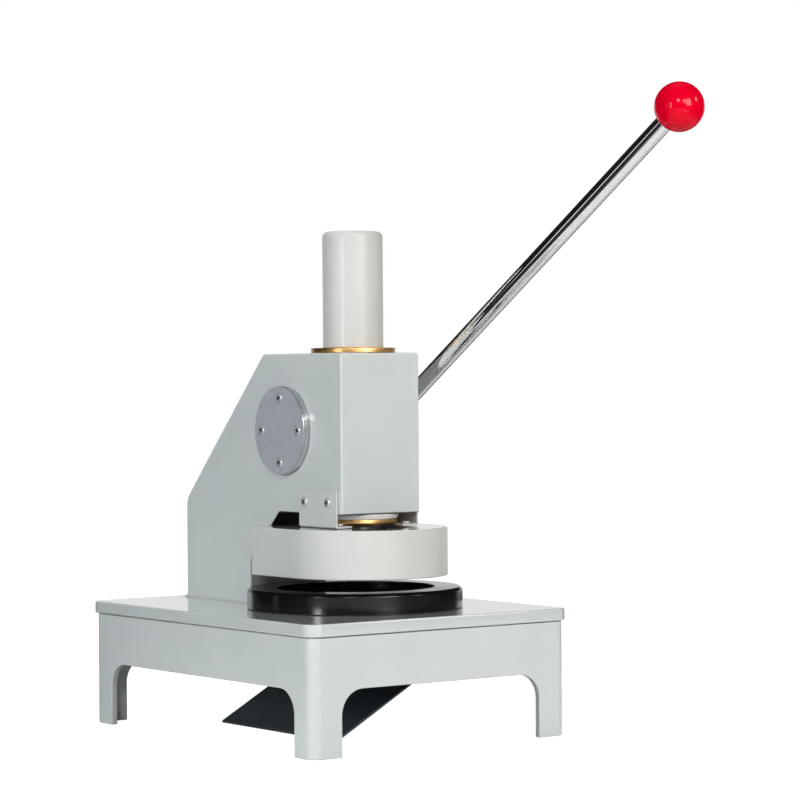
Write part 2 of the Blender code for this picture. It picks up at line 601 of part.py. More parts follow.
# the key lies opposite the rod, half in the shaft and half in the hub
key_mid = Vector((0, cos(LEVER_ANGLE), -sin(LEVER_ANGLE))) * SEAT_R
key_at = (LEVER_X, PINION_Y + key_mid.y, PINION_Z + key_mid.z)
box("hub_key", "tool_steel", (20, 5, 5), key_at, lever_pivot, LEVER_ROT)
slot = 5 + 2 * GAP
key_slot = box("key_slot_cutter", None, (20 + 2 * GAP, slot, slot), key_at, lever_pivot, LEVER_ROT)
hub_slot = box("hub_slot_cutter", None, (80, slot, slot), key_at, lever_pivot, LEVER_ROT)
cut(pinion_shaft, key_slot)
cut(lever_hub, hub_slot, hole(SEAT_R + GAP, 60, (LEVER_X, PINION_Y, PINION_Z), AXIS_X, MID_N, lever_pivot),
    socket)

turned("hub_washer", "zinc",
       [(4.3, hub_out + 2.3), (13, hub_out + 2.3), (13, hub_out + GAP), (4.3, hub_out + GAP)],
       (0, PINION_Y, PINION_Z), lever_pivot, AXIS_X, closed=True)
socket_screw("hub_screw", "zinc", (hub_out + 2.6, PINION_Y, PINION_Z), 6.5, 7, 4, 20, out_right, lever_pivot)

rod_end = LEVER_LEN - sqrt(BALL_R ** 2 - ROD_R ** 2) - GAP
turned("lever_rod", "chrome",
       [(0, LEVER_LEN + 2), (STUD_R - 0.5, LEVER_LEN + 2), (STUD_R, LEVER_LEN + 1.5), (STUD_R, rod_end),
        (ROD_R - 0.8, rod_end), (ROD_R, rod_end - 0.8), (ROD_R, 11.7), (0, 11.7)],
       (LEVER_X, PINION_Y, PINION_Z), lever_pivot, LEVER_ROT, steps=ROD_N)
bpy.ops.mesh.primitive_uv_sphere_add(segments=24, ring_count=12, radius=mm(BALL_R))
ball_knob = bpy.context.object
ball_knob.name = ball_knob.data.name = "ball_knob"
ball_knob.data.transform(Matrix.Translation(mm(0, 0, LEVER_LEN)))
smooth(ball_knob)
place(ball_knob, "red_phenolic", inside(lever_pivot, (LEVER_X, PINION_Y, PINION_Z)), LEVER_ROT, lever_pivot)
stud_hole = hole(STUD_R + GAP, 30, (LEVER_X, PINION_Y, PINION_Z), LEVER_ROT, ROD_N, lever_pivot)
stud_hole.data.transform(Matrix.Translation(mm(0, 0, LEVER_LEN + 2 + GAP - 15)))
cut(ball_knob, stud_hole)

# ---------------------------------------------------------------- finger guard
def guard_outline(r, rear):
    nose = [(r * cos(t), GUARD_Y + r * sin(t)) for t in (pi + pi * k / 28 for k in range(29))]
    return [(-r, rear)] + nose + [(r, rear)]


punch_guard = slab("punch_guard", "guard_enamel", [guard_outline(GUARD_R, GUARD_REAR)], GUARD_Z0, GUARD_Z1)
bevel(punch_guard, 0.8, 1)
window = rounded([(-25, 12, 24), (-25, -52, 14), (25, -52, 14), (25, 12, 24)])
lean = atan(GUARD_REAR_LEAN / (GUARD_Z1 - GUARD_Z0))
rear_cut = box("rear_cutter", None, (3 * GUARD_R, 30, 60), (0, GUARD_REAR + 15.6, GUARD_Z0), rot=(lean, 0, 0))
cut(punch_guard,
    slab("guard_cavity", None, [guard_outline(GUARD_R - GUARD_WALL, GUARD_REAR + 20)], GUARD_Z0 - 5,
         GUARD_Z1 - GUARD_WALL),
    slab("guard_window", None, [window], GUARD_Z1 - 8, GUARD_Z1 + 5),
    hole(25, 20, (0, 0, GUARD_Z1), sides=MID_N), rear_cut)

foot_z = GUARD_Z1 + GAP
for side_x, side in ((-1, "left"), (1, "right")):
    x0 = side_x * (HEAD_HALF + GAP)
    x1, x2 = x0 + side_x * BRACKET_T, x0 + side_x * BRACKET_T - side_x * BRACKET_FOOT
    sheet = [(x0, BRACKET_TOP), (x0, foot_z + BRACKET_T), (x2, foot_z + BRACKET_T), (x2, foot_z),
             (x1, foot_z), (x1, BRACKET_TOP)]
    bracket = slab("guard_bracket_" + side, "guard_enamel", [sheet], -BRACKET_Y1, -BRACKET_Y0, ALONG_Y)
    cut(bracket, hole(24.5, 20, (0, 0, foot_z), sides=MID_N))
    rot = out_left if side_x < 0 else out_right
    for y, end in zip(BRACKET_SCREWS_Y, ("front", "rear")):
        seat = (x1 + side_x * GAP, y, BRACKET_SCREW_Z)
        socket_screw("bracket_screw_" + side + "_" + end, "zinc", seat, 3.6, 2.2, 1.6, 7, rot, recess='CROSS')
        drill = screw_hole(seat, 1.6, 7.6, rot)
        cut(bracket, drill)
        cut(press_frame, drill)
    seat = (side_x * 29.0, -22.0, foot_z + BRACKET_T + GAP)
    socket_screw("guard_screw_" + side, "zinc", seat, 3.0, 1.6, 1.5, 4.4, recess='CROSS')
    drill = screw_hole(seat, 1.5, 6)
    cut(bracket, drill)
    cut(punch_guard, drill)
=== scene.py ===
"""Looks for a lever-operated round sample cutter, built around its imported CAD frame.

Each CAD node gets a finer piece that stands for it, in the same place: rounder turnings,
softened edges and a procedural finish. Lengths are millimetres from the ram axis (X to the
right, Y to the rear) and from the floor (Z up); spot() turns them into the shared frame.
"""
import json
from math import acos, atan, cos, pi, radians, sin, sqrt, tan

import bmesh
import bpy
from mathutils import Euler, Matrix, Vector


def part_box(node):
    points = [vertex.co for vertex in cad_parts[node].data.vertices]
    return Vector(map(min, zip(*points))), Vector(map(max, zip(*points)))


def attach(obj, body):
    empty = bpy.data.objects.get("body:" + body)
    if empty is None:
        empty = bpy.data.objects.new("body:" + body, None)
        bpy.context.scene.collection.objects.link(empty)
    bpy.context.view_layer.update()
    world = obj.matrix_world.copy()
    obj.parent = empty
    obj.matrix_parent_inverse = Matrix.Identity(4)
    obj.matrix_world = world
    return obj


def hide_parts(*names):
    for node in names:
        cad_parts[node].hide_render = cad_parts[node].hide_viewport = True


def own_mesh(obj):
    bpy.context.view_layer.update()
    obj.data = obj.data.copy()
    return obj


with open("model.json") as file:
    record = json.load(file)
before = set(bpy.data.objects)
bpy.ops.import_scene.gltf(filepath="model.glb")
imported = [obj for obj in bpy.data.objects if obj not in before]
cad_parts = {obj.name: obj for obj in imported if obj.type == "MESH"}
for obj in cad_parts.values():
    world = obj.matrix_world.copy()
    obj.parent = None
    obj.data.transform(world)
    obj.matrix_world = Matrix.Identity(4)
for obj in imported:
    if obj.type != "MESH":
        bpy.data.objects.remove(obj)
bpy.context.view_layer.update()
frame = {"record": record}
body_of = {n: b for b, nodes in frame["record"]["behaviour"]["bodies"].items() for n in nodes}
scene = bpy.context.scene

# ---------------------------------------------------------------- places, taken from the frame


def middle(node):
    """Centre of a node's box, in metres in the shared frame."""
    lo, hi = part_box(node)
    return (lo + hi) / 2


def low(node):
    """Lowest corner of a node, in millimetres from the ram axis and the floor."""
    return (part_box(node)[0] - RAM) * 1000


def high(node):
    """Highest corner of a node, in the same millimetres."""
    return (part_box(node)[1] - RAM) * 1000


RAM = Vector((middle("die_ring").x, middle("die_ring").y, 0))
PIVOT = (middle("cover_disc") - RAM) * 1000
PIVOT.x = 0

GAP = 0.3
TABLE_TOP, PLATE_LOW = high("base_plate").z, low("base_plate").z
FOOT = TABLE_TOP + GAP
HEAD_HALF = high("press_frame").x - 2.5
LEVER_X = middle("ball_knob").x * 1000
LEVER_ANGLE = radians(32.5)
LEVER_LEN = 387.0
MODULE, TEETH, BACKLASH, PRESSURE = 2.0, 17, 0.3, radians(20)
PITCH_R = MODULE * TEETH / 2
RACK_Y = PIVOT.y - PITCH_R

ALONG_X = (radians(90), 0, radians(90))
ALONG_Y = (radians(90), 0, 0)
AXIS_X = (0, radians(90), 0)
LEFT, RIGHT = (0, radians(-90), 0), (0, radians(90), 0)
DOWN = (pi, 0, 0)
SIDES = ((-1, "left"), (1, "right"))
LEVER = (radians(90) - LEVER_ANGLE, 0, 0)
LEVER_AXIS = (0, -cos(LEVER_ANGLE), sin(LEVER_ANGLE))

# ---------------------------------------------------------------- mesh helpers


def mm(*values):
    """Millimetres as metres: one number, or a tuple of several."""
    scaled = tuple(v * 0.001 for v in values)
    return scaled if len(scaled) > 1 else scaled[0]


def spot(at, rot=(0, 0, 0)):
    """The place and turn in the shared frame of a point given from the ram axis."""
    return Matrix.Translation(RAM + Vector(mm(*at))) @ Euler(rot).to_matrix().to_4x4()


def to_object(name, mesh, at=(0, 0, 0), rot=(0, 0, 0)):
    mesh.transform(spot(at, rot))
    obj = bpy.data.objects.new(name, mesh)
    scene.collection.objects.link(obj)
    return obj


def skin(name, bm, at=(0, 0, 0), rot=(0, 0, 0)):
    """Make an object of a finished bmesh, with its faces turned outwards."""
    bmesh.ops.recalc_face_normals(bm, faces=bm.faces)
    mesh = bpy.data.meshes.new(name)
    bm.to_mesh(mesh)
    bm.free()
    return to_object(name, mesh, at, rot)


def curve_mesh(curve):
    """The mesh of a curve, which is then thrown away."""
    holder = bpy.data.objects.new(curve.name, curve)
    scene.collection.objects.link(holder)
    bpy.context.view_layer.update()
    mesh = bpy.data.meshes.new_from_object(holder.evaluated_get(bpy.context.evaluated_depsgraph_get()))
    bpy.data.objects.remove(holder)
    bpy.data.curves.remove(curve)
    return mesh


def rounded(points, seg=8):
    """Round an outline's corners: each point is (x, y) or (x, y, radius)."""
    out = []
    for i, point in enumerate(points):
        here = Vector(point[:2])
        radius = point[2] if len(point) > 2 else 0
        if not radius:
            out.append(tuple(here))
            continue
        a = (Vector(points[i - 1][:2]) - here).normalized()
        b = (Vector(points[(i + 1) % len(points)][:2]) - here).normalized()
        half = acos(max(-1, min(1, a.dot(b)))) / 2
        centre = here + (a + b).normalized() * radius / sin(half)
        start = here + a * radius / tan(half) - centre
        turn = pi - 2 * half
        if a.x * b.y - a.y * b.x > 0:
            turn = -turn
        for k in range(seg + 1):
            t = turn * k / seg
            out.append((centre.x + start.x * cos(t) - start.y * sin(t),
                        centre.y + start.x * sin(t) + start.y * cos(t)))
    return out


def rectangle(x0, x1, y0, y1, r, seg=8):
    return rounded([(x0, y0, r), (x1, y0, r), (x1, y1, r), (x0, y1, r)], seg)


def turned(name, profile, at=(0, 0, 0), rot=(0, 0, 0), steps=96, closed=False, seg=4):
    """Spin (radius, height[, corner radius]) points about local Z; closed makes a ring."""
    bm = bmesh.new()
    rings = []
    for r, z in rounded(profile, seg):
        count = steps if r > 1e-6 else 1
        rings.append([bm.verts.new(mm(r * cos(2 * pi * k / steps), r * sin(2 * pi * k / steps), z))
                      for k in range(count)])
    for a, b in zip(rings, rings[1:] + (rings[:1] if closed else [])):
        for k in range(steps):
            j = (k + 1) % steps
            corners = list(dict.fromkeys((a[k % len(a)], a[j % len(a)], b[j % len(b)], b[k % len(b)])))
            if len(corners) > 2:
                bm.faces.new(corners)
    return skin(name, bm, at, rot)


def slab(name, outlines, lo, hi, rot=(0, 0, 0), at=(0, 0, 0)):
    """Flat outlines (the first outside, the others holes) pulled out from lo to hi."""
    curve = bpy.data.curves.new(name, 'CURVE')
    curve.dimensions, curve.fill_mode = '2D', 'BOTH'
    curve.extrude = mm((hi - lo) / 2)
    for outline in outlines:
        spline = curve.splines.new('POLY')
        spline.points.add(len(outline) - 1)
        for p, (x, y) in zip(spline.points, outline):
            p.co = (*mm(x, y, 0), 1)
        spline.use_cyclic_u = True
    filled = curve_mesh(curve)
    bm = bmesh.new()
    bm.from_mesh(filled)
    bpy.data.meshes.remove(filled)
    bmesh.ops.remove_doubles(bm, verts=bm.verts, dist=mm(0.002))
    bmesh.ops.dissolve_limit(bm, angle_limit=radians(0.5), verts=bm.verts, edges=bm.edges)
    bmesh.ops.translate(bm, verts=bm.verts, vec=mm(0, 0, (lo + hi) / 2))
    return skin(name, bm, at, rot)


def loft(name, levels):
    """Skin over level outlines, each (points, height), with as many points in one as in the next."""
    bm = bmesh.new()
    rings = [[bm.verts.new(mm(x, y, z)) for x, y in outline] for outline, z in levels]
    for a, b in zip(rings, rings[1:]):
        for k in range(len(a)):
            j = (k + 1) % len(a)
            bm.faces.new((a[k], a[j], b[j], b[k]))
    bm.faces.new(rings[0])
    bm.faces.new(rings[-1])
    return skin(name, bm)


def box(name, size, at, rot=(0, 0, 0)):
    """A block to cut or join with, or to round into a key."""
    bm = bmesh.new()
    bmesh.ops.create_cube(bm, size=1)
    bmesh.ops.scale(bm, vec=mm(*size), verts=bm.verts)
    return skin(name, bm, at, rot)


def rod(r, lo, hi, at=(0, 0, 0), rot=(0, 0, 0), steps=48):
    """A plain cylinder to cut with, from lo to hi along local Z."""
    return turned("cutter", [(0, lo), (r, lo), (r, hi), (0, hi)], at, rot, steps)


def bake(obj):
    """Apply a piece's modifiers to its mesh."""
    mesh = bpy.data.meshes.new_from_object(obj.evaluated_get(bpy.context.evaluated_depsgraph_get()))
    obj.modifiers.clear()
    obj.data = mesh
    return obj


def soften(obj, width, seg=3, angle=35):
    """Round every edge sharper than an angle."""
    mod = obj.modifiers.new("bevel", 'BEVEL')
    mod.width, mod.segments = mm(width), seg
    mod.limit_method, mod.angle_limit = 'ANGLE', radians(angle)
    return bake(obj)


def carve(obj, *tools, operation='DIFFERENCE'):
    """Cut tools out of a piece, or join them to it, and remove them."""
    for tool in tools:
        mod = obj.modifiers.new("cut", 'BOOLEAN')
        mod.operation, mod.object, mod.solver = operation, tool, 'EXACT'
    bake(obj)
    for tool in tools:
        bpy.data.objects.remove(tool)
    return obj


# ---------------------------------------------------------------- finishes


def add(tree, kind, inputs=None, **settings):
    """Add a shader node; inputs holds values or sockets to link."""
    made = tree.nodes.new("ShaderNode" + kind)
    for key, value in settings.items():
        setattr(made, key, value)
    for key, value in (inputs or {}).items():
        if isinstance(value, bpy.types.NodeSocket):
            tree.links.new(value, made.inputs[key])
        else:
            made.inputs[key].default_value = value
    return made


def ramp(tree, value, lo, hi, at_lo=0, at_hi=1):
    """A value between lo and hi, as one between at_lo and at_hi."""
    return add(tree, "MapRange", {"Value": value, "From Min": lo, "From Max": hi,
                                  "To Min": at_lo, "To Max": at_hi}).outputs[0]


def maths(tree, operation, a, b):
    return add(tree, "Math", {0: a, 1: b}, operation=operation).outputs[0]


def vector(tree, operation, a, b=None, out=0):
    return add(tree, "VectorMath", {0: a} if b is None else {0: a, 1: b}, operation=operation).outputs[out]


def noise(tree, place, scale, **inputs):
    return add(tree, "TexNoise", {"Vector": place, "Scale": scale, **inputs}).outputs["Fac"]


def about_axis(tree, place, point, axis):
    """Coordinates (distance from an axis, height along it), for marks left by turning."""
    local = vector(tree, 'SUBTRACT', place, tuple(point))
    along = vector(tree, 'DOT_PRODUCT', local, axis, "Value")
    part = add(tree, "VectorMath", {0: axis, "Scale": along}, operation='SCALE').outputs[0]
    radius = vector(tree, 'LENGTH', vector(tree, 'SUBTRACT', local, part), out="Value")
    return add(tree, "CombineXYZ", {0: radius, 1: along}).outputs[0]


AXES = {"ram": (RAM, (0, 0, 1)),
        "pinion": (RAM + Vector(mm(0, PIVOT.y, PIVOT.z)), (1, 0, 0)),
        "rod": (RAM + Vector(mm(LEVER_X, PIVOT.y, PIVOT.z)), LEVER_AXIS)}

# colour, second colour, blotches per metre, metallic, roughness, its spread, grain per metre, bump, coat, edge
# wear and painted edge highlight
LOOKS = {
    "enamel": ((0.555, 0.585, 0.574), (0.535, 0.567, 0.558), 22, 0, 0.34, 0.05, 850, 0.04, 0.38, 0.10),
    "table_enamel": ((0.545, 0.580, 0.570), (0.530, 0.565, 0.556), 22, 0, 0.10, 0.02, 850, 0.006, 1.0, 0.10),
    "guard_enamel": ((0.560, 0.568, 0.545), (0.540, 0.550, 0.528), 26, 0, 0.42, 0.05, 850, 0.04, 0.22, 0.10),
    "black_steel": ((0.003, 0.003, 0.0035), (0.005, 0.005, 0.0055), 60, 0.0, 0.17, 0.05, 1500, 0.05, 0.25, 0.06),
    "navy_sheet": ((0.019, 0.026, 0.032), (0.028, 0.036, 0.043), 30, 0.1, 0.38, 0.08, 1100, 0.12, 0.15, 0.10),
    "brass": ((0.96, 0.62, 0.26), (0.86, 0.47, 0.17), 180, 1, 0.36, 0.06, 2600, 0.60, 0, 0.2),
    "turned_steel": ((0.62, 0.63, 0.64), (0.54, 0.55, 0.57), 420, 1, 0.17, 0.03, 1800, 0.05, 0, 0.12),
    "satin_steel": ((0.75, 0.76, 0.83), (0.68, 0.69, 0.76), 420, 0.55, 0.45, 0.08, 1800, 0.16, 0, 0.2),
    "ground_steel": ((0.34, 0.31, 0.28), (0.26, 0.23, 0.20), 200, 1, 0.24, 0.08, 2400, 0.18, 0, 0.25),
    "tool_steel": ((0.44, 0.43, 0.42), (0.35, 0.34, 0.34), 150, 1, 0.30, 0.08, 2400, 0.18, 0, 0.3),
    "dark_steel": ((0.050, 0.048, 0.050), (0.085, 0.080, 0.078), 240, 0.8, 0.42, 0.10, 2000, 0.15, 0, 0.3),
    "chrome": ((0.88, 0.87, 0.87), (0.84, 0.83, 0.84), 90, 1, 0.05, 0.01, 900, 0, 0, 0.0),
    "zinc": ((0.86, 0.87, 0.89), (0.76, 0.78, 0.81), 500, 0.6, 0.26, 0.10, 2200, 0.15, 0, 0.3),
    "spring_steel": ((0.30, 0.29, 0.28), (0.21, 0.20, 0.20), 300, 1, 0.34, 0.10, 1600, 0.15, 0, 0.2),
    "bronze": ((0.56, 0.33, 0.15), (0.44, 0.25, 0.11), 200, 1, 0.34, 0.10, 2000, 0.22, 0, 0.3),
    "white_nylon": ((0.92, 0.93, 0.90), (0.87, 0.88, 0.85), 120, 0, 0.42, 0.08, 1600, 0.10, 0, 0.0),
    "red_phenolic": ((0.66, 0.0, 0.018), (0.62, 0.0, 0.016), 70, 0, 0.15, 0.02, 700, 0.006, 0.0, 0.0),
}

# roughness of the clear coats; then the finishes that reflect less than bare gloss
TABLE_COAT, PLAIN_COAT = 0.02, 0.15
DULL = {"enamel": 0.3, "black_steel": 0.38, "red_phenolic": 0.15, "guard_enamel": 0.3}


def finish(look, axis=None):
    """A procedural finish. With an axis, its blotches and grain run round it, as turning leaves them."""
    name = look + ("_finish" if axis is None else "_turned_about_" + axis)
    if name in bpy.data.materials:
        return bpy.data.materials[name]
    first, second, blotch, metallic, rough, spread, grain, bump, coat, wear_and_glint = LOOKS[look]
    mat = bpy.data.materials.new(name)
    mat.use_nodes = True
    tree = mat.node_tree
    shader = tree.nodes["Principled BSDF"]
    place = add(tree, "TexCoord").outputs["Object"]
    marks = place if axis is None else about_axis(tree, place, *AXES[axis])
    wide = noise(tree, marks, blotch, Detail=3.0)
    cloud = noise(tree, place, blotch * 0.35, Detail=4.0, Roughness=0.6)
    share = ramp(tree, wide, 0.35, 0.65)
    base = add(tree, "Mix", {"Factor": share, "A": (*first, 1), "B": (*second, 1)}, data_type='RGBA')
    dim = ramp(tree, cloud, 0.3, 0.7, 0.97, 1.02)
    colour = add(tree, "VectorMath", {0: base.outputs["Result"], "Scale": dim}, operation='SCALE').outputs[0]
    if wear_and_glint:
        # edges get a lighter colour: partly wear, as paint and scale are thinner there and handling polishes
        # them, and partly a painted highlight for the light that rounded edges catch
        rounded_normal = add(tree, "Bevel", {"Radius": mm(0.9)}, samples=4).outputs[0]
        true = add(tree, "NewGeometry").outputs["Normal"]
        edge = ramp(tree, vector(tree, 'DOT_PRODUCT', rounded_normal, true, "Value"), 0.995, 0.90, 0, wear_and_glint)
        edge = maths(tree, 'MULTIPLY', edge, noise(tree, place, 300.0, Detail=3.0))
        bare_and_glint = (*(min(1, c * 1.25 + 0.12) for c in first), 1)
        colour = add(tree, "Mix", {"Factor": edge, "A": colour, "B": bare_and_glint}, data_type='RGBA').outputs["Result"]
    tree.links.new(colour, shader.inputs["Base Color"])
    tree.links.new(ramp(tree, cloud, 0.3, 0.7, rough - spread, rough + spread), shader.inputs["Roughness"])
    shader.inputs["Metallic"].default_value = metallic
    if bump:
        fine = noise(tree, marks, grain, Detail=2.0)
        relief = add(tree, "Bump", {"Height": fine, "Strength": bump, "Distance": mm(0.12)})
        tree.links.new(relief.outputs[0], shader.inputs["Normal"])
    shader.inputs["Coat Weight"].default_value = coat
    shader.inputs["Coat Roughness"].default_value = TABLE_COAT if look == "table_enamel" else PLAIN_COAT
    shader.inputs["Specular IOR Level"].default_value = DULL.get(look, 0.5)
    return mat


def smooth(obj, sharp=35):
    """Smooth shading that stops at sharp edges."""
    obj.data.shade_smooth()
    obj.data.set_sharp_from_angle(angle=radians(sharp))
    obj.modifiers.new("normals", 'WEIGHTED_NORMAL').keep_sharp = True


def dress(obj, node, look, axis=None, sharp=35):
    """Give a piece its finish and let it stand for a CAD node, on that node's body."""
    obj.name = obj.data.name = node + "_look"
    obj.data.materials.clear()
    obj.data.materials.append(finish(look, axis))
    smooth(obj, sharp)
    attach(obj, body_of[node])
    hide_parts(node)
    return obj


def second_finish(obj, look, chosen):
    """Give the faces that chosen() picks another finish."""
    obj.data.materials.append(finish(look))
    for face in obj.data.polygons:
        if chosen(face):
            face.material_index = 1


def cap_screw(node, look, at, head_r, head_h, shank_r, shank, rot=(0, 0, 0)):
    """Hexagon socket screw whose local +Z points out of its head."""
    screw = turned("screw", [(0, head_h), (head_r, head_h, 0.5), (head_r, 0), (shank_r, 0, 0.2),
                             (shank_r, -shank, 0.5), (0, -shank)], at, rot, 40, seg=3)
    recess = rod(head_r * 0.55, head_h * 0.45, head_h + 1, at, rot, 6)
    return dress(carve(screw, recess), node, look)


def cross_screw(node, at, head_r, head_h, shank_r, shank, rot=(0, 0, 0), turn=0.4):
    """Domed screw with a cross recess whose wings narrow towards the bottom."""
    screw = turned("screw", [(0, head_h), (head_r * 0.8, head_h * 0.94, 0.8), (head_r, head_h * 0.55, 0.3),
                             (head_r, 0), (shank_r, 0, 0.2), (shank_r, -shank, 0.4), (0, -shank)],
                   at, rot, 48, seg=4)
    # half length, half width and height of a wing, at its top and at its bottom
    rows = [(head_r * 0.66, head_r * 0.14, head_h + 0.3), (head_r * 0.45, head_r * 0.11, head_h * 0.25)]
    wings = []
    for a in (turn, turn + pi / 2):
        bm = bmesh.new()
        verts = [[bm.verts.new(mm(x * cos(a) - y * sin(a), x * sin(a) + y * cos(a), z))
                  for x, y in ((-l, -w), (l, -w), (l, w), (-l, w))] for l, w, z in rows]
        bm.faces.new(verts[0])
        bm.faces.new(verts[1][::-1])
        for k in range(4):
            bm.faces.new((verts[1][k], verts[1][(k + 1) % 4], verts[0][(k + 1) % 4], verts[0][k]))
        wings.append(skin("wing", bm, at, rot))
    dress(carve(screw, *wings), node, "zinc")
    axis = Euler(rot).to_matrix() @ Vector((0, 0, 1))
    foot = RAM + Vector(mm(*at))

    # faces inside the cross recess, which get a near-black finish below: painted shade, as the recess is the
    # same zinc as the head and is only dark from shade
    def recess_painted_as_shade(face):
        out = face.center - foot
        height = out.dot(axis) / mm(head_h)
        return (out.cross(axis).length < mm(head_r * 0.64) and 0.1 < height
                and (abs(face.normal.dot(axis)) < 0.6 or height < 0.5))

    second_finish(screw, "black_steel", recess_painted_as_shade)


# ---------------------------------------------------------------- base table
DROP_R, BOLT_HOLE_R = 59, 5.1
FRAME_BOLT_X, FRAME_BOLT_Y = 20, {"front": 102.0, "rear": 152.0}
BASE_HALF = high("base_plate").x
Y0, Y1 = low("base_plate").y, high("base_plate").y
plate = slab("plate", [rectangle(-BASE_HALF, BASE_HALF, Y0, Y1, 11, 12)], PLATE_LOW, TABLE_TOP)
soften(plate, 1.1, 4, 60)
carve(plate, rod(DROP_R, 60, 120, steps=128))
for x in (-FRAME_BOLT_X, FRAME_BOLT_X):
    for y in FRAME_BOLT_Y.values():
        carve(plate, rod(BOLT_HOLE_R, 60, 120, (x, y, 0)))
dress(plate, "base_plate", "table_enamel")

UNDER = PLATE_LOW - GAP
OVERHANG, WALL, ARCH_TOP, ARCH_R = 2.3, 5.0, 44.9, 17.0
LUG_IN, LUG_DEPTH, TABLE_SCREW_R = 12.5, 8, 3.1
sx, sy0, sy1 = BASE_HALF - OVERHANG, Y0 + OVERHANG, Y1 - OVERHANG


def arch(lo, hi):
    return rounded([(lo, -5), (hi, -5), (hi, ARCH_TOP, ARCH_R), (lo, ARCH_TOP, ARCH_R)], 12)


skirt = slab("skirt", [rectangle(-sx, sx, sy0, sy1, 8.7, 9),
                       rectangle(-sx + WALL, sx - WALL, sy0 + WALL, sy1 - WALL, 3.7, 3)], 0, UNDER - 0.4)
carve(skirt, slab("arch", [arch(-84, 84)], -Y1 - 5, -Y0 + 5, ALONG_Y),
      slab("arch", [arch(-82, 155)], -BASE_HALF - 5, BASE_HALF + 5, ALONG_X))
soften(skirt, 0.8, 3, 50)
for side_x, side in SIDES:
    for lug_y, end in ((sy0 + LUG_IN, "front"), (sy1 - LUG_IN, "rear")):
        lug_x = side_x * (sx - LUG_IN)
        carve(skirt, box("lug", (20, 20, LUG_DEPTH), (lug_x, lug_y, UNDER - LUG_DEPTH / 2 - 0.01)),
              operation='UNION')
        seat = (lug_x, lug_y, UNDER - LUG_DEPTH - GAP)
        carve(skirt, rod(TABLE_SCREW_R, -16, 6, seat, DOWN))
        cap_screw("table_screw_" + end + "_" + side, "dark_steel", seat, 4.8, 5.5, 2.8, 14, DOWN)
dress(skirt, "base_skirt", "enamel")

CHUTE_X0, CHUTE_X1, CHUTE_Z0, CHUTE_SLOPE, CHUTE_T, CHUTE_HALF = -66.5, 86, 6.0, 0.55, 1.5, 72
rise = CHUTE_T * sqrt(1 + CHUTE_SLOPE ** 2)
bend_x = CHUTE_X0 + (UNDER - CHUTE_T - CHUTE_Z0) / CHUTE_SLOPE
chute = slab("chute", [rounded([(CHUTE_X0, CHUTE_Z0), (bend_x, UNDER - CHUTE_T, 4), (CHUTE_X1, UNDER - CHUTE_T),
                                (CHUTE_X1, UNDER), (bend_x - 0.4, UNDER, 2.5), (CHUTE_X0, CHUTE_Z0 + rise)])],
             -CHUTE_HALF, CHUTE_HALF, ALONG_Y)
soften(chute, 0.35, 2, 50)
for end, y in (("front", -45), ("rear", 45)):
    seat = (78, y, UNDER - CHUTE_T - GAP)
    carve(chute, rod(2.7, -10, 4, seat, DOWN))
    cap_screw("chute_screw_" + end, "dark_steel", seat, 4.2, 2.6, 2.4, 8, DOWN)
dress(chute, "sample_chute", "navy_sheet")

# ---------------------------------------------------------------- press frame
HEAD_FRONT, HEAD_BOTTOM, HEAD_TOP = low("press_frame").y, 156.7, high("press_frame").z
BACK_Y, THROAT_Y = 170.3, 83.8
head = slab("head", [rounded([(HEAD_FRONT, HEAD_BOTTOM), (46.2, HEAD_BOTTOM), (THROAT_Y, 120.5, 6),
                              (THROAT_Y, FOOT), (BACK_Y, FOOT), (BACK_Y, 163, 14),
                              (65.3, HEAD_TOP, 5), (HEAD_FRONT, HEAD_TOP)], 10)],
            -HEAD_HALF, HEAD_HALF, ALONG_X)
soften(head, 1.6, 5, 40)
carve(head, rod(26.8, 150, 182.3, steps=96), rod(23.4, 150, 249, steps=96), rod(20.3, 229, 275, steps=96),
      rod(PITCH_R + MODULE + 0.4, -38, 13, PIVOT, AXIS_X, 96), rod(15.3, 0, 38, PIVOT, AXIS_X, 64))
for side_x, side in SIDES:
    for end, y in FRAME_BOLT_Y.items():
        seat = (side_x * FRAME_BOLT_X, y, UNDER)
        carve(head, rod(BOLT_HOLE_R, -38, 0.3, seat, DOWN))
        cap_screw("frame_bolt_" + end + "_" + side, "dark_steel", seat, 8, 9, 4.8, 36, DOWN)
dress(head, "press_frame", "enamel")
# the head's downward faces, underneath and in the throat, get a near-black finish: painted shade, as they are
# enamelled like the rest of the frame and only lie in deep shade
second_finish(head, "dark_steel", lambda face: face.normal.z < -0.6 and face.center.z > mm(118))

# a concave fillet from the frame's foot to the table
COVE = 3.6
levels = [COVE * (1 - cos(radians(9 * k))) for k in range(11)]
flare = [COVE - sqrt(COVE ** 2 - (COVE - z) ** 2) for z in levels]
bead = loft("bead", [(rectangle(-HEAD_HALF - d, HEAD_HALF + d, THROAT_Y - d, BACK_Y + d, 1.6 + d, 6),
                      TABLE_TOP + 0.05 + z) for z, d in zip(levels, flare)])
bead.name = bead.data.name = "foot_fillet"
bead.data.materials.append(finish("enamel"))
smooth(bead)
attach(bead, body_of["press_frame"])

